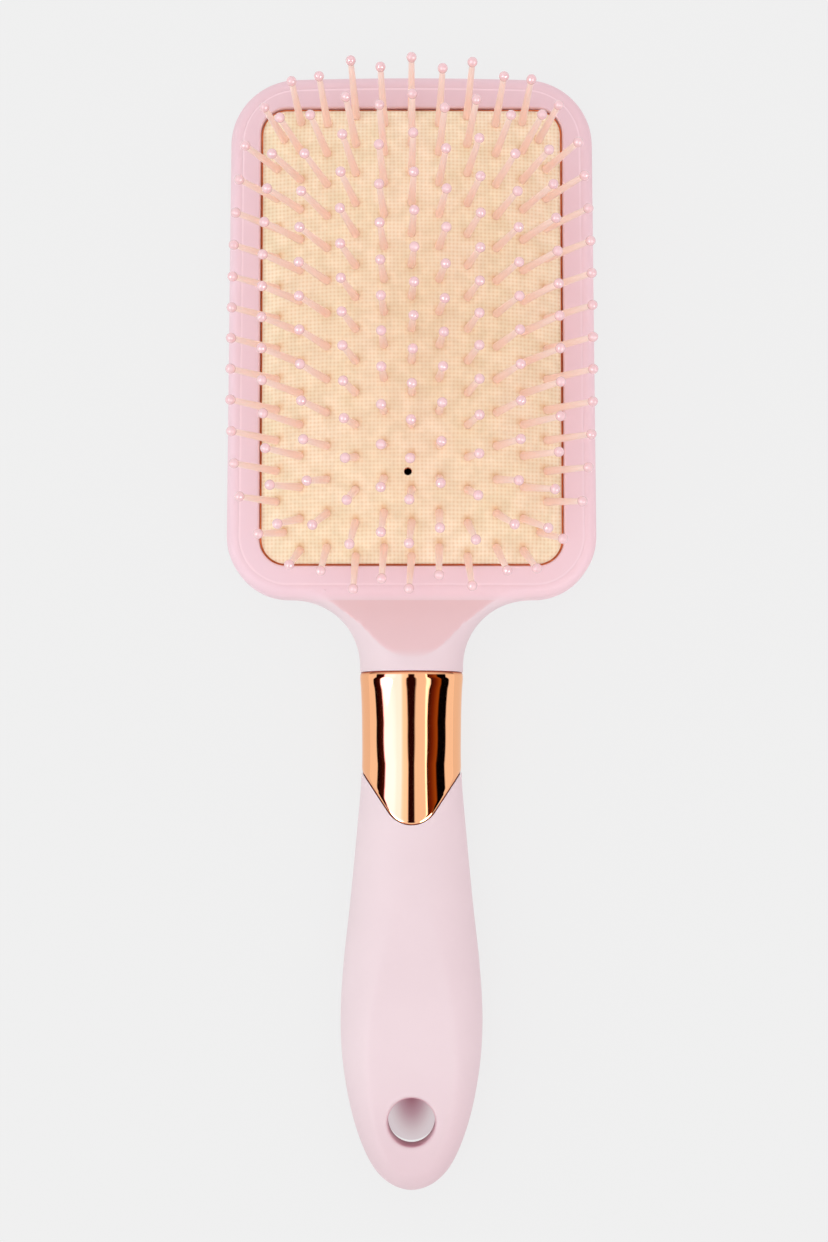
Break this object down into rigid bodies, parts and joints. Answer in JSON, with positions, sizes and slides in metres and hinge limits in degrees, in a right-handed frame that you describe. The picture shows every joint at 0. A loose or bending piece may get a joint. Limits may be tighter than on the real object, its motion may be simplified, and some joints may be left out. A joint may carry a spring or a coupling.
{
  "type": "paddle brush",
  "caption": "Rectangular paddle hair brush: air-cushioned pad of ball-tipped pins in a flat paddle, with a metal-look ferrule and an oval handle with a hang hole.",
  "frame": {"origin": "middle of the paddle's flat back, which the brush lies on, under the middle of the cushion", "axes": "+Y to the head end and -Y along the handle, +Z out of the cushion along the middle pins, +X to the right seen from the pins"},
  "size_m": [0.0834, 0.2522, 0.0415],
  "materials": {
    "soft_pink": "pale pink soft-touch coating over ABS",
    "bezel_pink": "pale pink semi-gloss plastic",
    "rose_gold": "polished rose-gold plating",
    "cushion_cloth": "fine cream woven cloth bonded to the rubber",
    "cushion_rubber": "matt orange-brown rubber",
    "pin_nylon": "peach nylon, slightly translucent",
    "tip_pink": "glossy pink drop"
  },
  "bodies": {
    "paddle": {"paddle_shell": "soft_pink", "front_bezel": "bezel_pink", "cushion_membrane": "cushion_rubber", "cushion_cloth": "cushion_cloth", "ferrule": "rose_gold", "handle_front_shell": "soft_pink", "handle_back_shell": "soft_pink"},
    "pin_ring_6": {"pins_ring_6_centre": "pin_nylon", "tips_ring_6_centre": "tip_pink"},
    "pin_ring_5": {"pins_ring_5_handle_end": "pin_nylon", "pins_ring_5_head_end": "pin_nylon", "pins_ring_5_left": "pin_nylon", "pins_ring_5_right": "pin_nylon", "tips_ring_5_handle_end": "tip_pink", "tips_ring_5_head_end": "tip_pink", "tips_ring_5_left": "tip_pink", "tips_ring_5_right": "tip_pink"},
    "pin_ring_4": {"pins_ring_4_handle_end": "pin_nylon", "pins_ring_4_head_end": "pin_nylon", "pins_ring_4_left": "pin_nylon", "pins_ring_4_right": "pin_nylon", "tips_ring_4_handle_end": "tip_pink", "tips_ring_4_head_end": "tip_pink", "tips_ring_4_left": "tip_pink", "tips_ring_4_right": "tip_pink"},
    "pin_ring_3": {"pins_ring_3_handle_end": "pin_nylon", "pins_ring_3_head_end": "pin_nylon", "pins_ring_3_left": "pin_nylon", "pins_ring_3_right": "pin_nylon", "tips_ring_3_handle_end": "tip_pink", "tips_ring_3_head_end": "tip_pink", "tips_ring_3_left": "tip_pink", "tips_ring_3_right": "tip_pink"},
    "pin_ring_2": {"pins_ring_2_handle_end": "pin_nylon", "pins_ring_2_head_end": "pin_nylon", "pins_ring_2_left": "pin_nylon", "pins_ring_2_right": "pin_nylon", "tips_ring_2_handle_end": "tip_pink", "tips_ring_2_head_end": "tip_pink", "tips_ring_2_left": "tip_pink", "tips_ring_2_right": "tip_pink"},
    "pin_ring_1": {"pins_ring_1_handle_end": "pin_nylon", "pins_ring_1_head_end": "pin_nylon", "pins_ring_1_left": "pin_nylon", "pins_ring_1_right": "pin_nylon", "tips_ring_1_handle_end": "tip_pink", "tips_ring_1_head_end": "tip_pink", "tips_ring_1_left": "tip_pink", "tips_ring_1_right": "tip_pink"}
  },
  "joints": [
    {"name": "cushion_press", "type": "slide", "parent": "paddle", "child": "pin_ring_6", "axis": [0, 0, 1], "range_m": [-0.006, 0], "stiffness_N_per_m": 1200, "deforming": ["cushion_membrane", "cushion_cloth"]},
    {"name": "ring_5_press", "type": "slide", "parent": "paddle", "child": "pin_ring_5", "axis": [0, 0, 1], "range_m": [-0.00589, 0]},
    {"name": "ring_4_press", "type": "slide", "parent": "paddle", "child": "pin_ring_4", "axis": [0, 0, 1], "range_m": [-0.00535, 0]},
    {"name": "ring_3_press", "type": "slide", "parent": "paddle", "child": "pin_ring_3", "axis": [0, 0, 1], "range_m": [-0.00445, 0]},
    {"name": "ring_2_press", "type": "slide", "parent": "paddle", "child": "pin_ring_2", "axis": [0, 0, 1], "range_m": [-0.00301, 0]},
    {"name": "ring_1_press", "type": "slide", "parent": "paddle", "child": "pin_ring_1", "axis": [0, 0, 1], "range_m": [-0.00139, 0]}
  ],
  "couplings": [
    {"joint": "ring_5_press", "follows": "cushion_press", "ratio": 0.98},
    {"joint": "ring_4_press", "follows": "cushion_press", "ratio": 0.89},
    {"joint": "ring_3_press", "follows": "cushion_press", "ratio": 0.74},
    {"joint": "ring_2_press", "follows": "cushion_press", "ratio": 0.5},
    {"joint": "ring_1_press", "follows": "cushion_press", "ratio": 0.23}
  ]
}
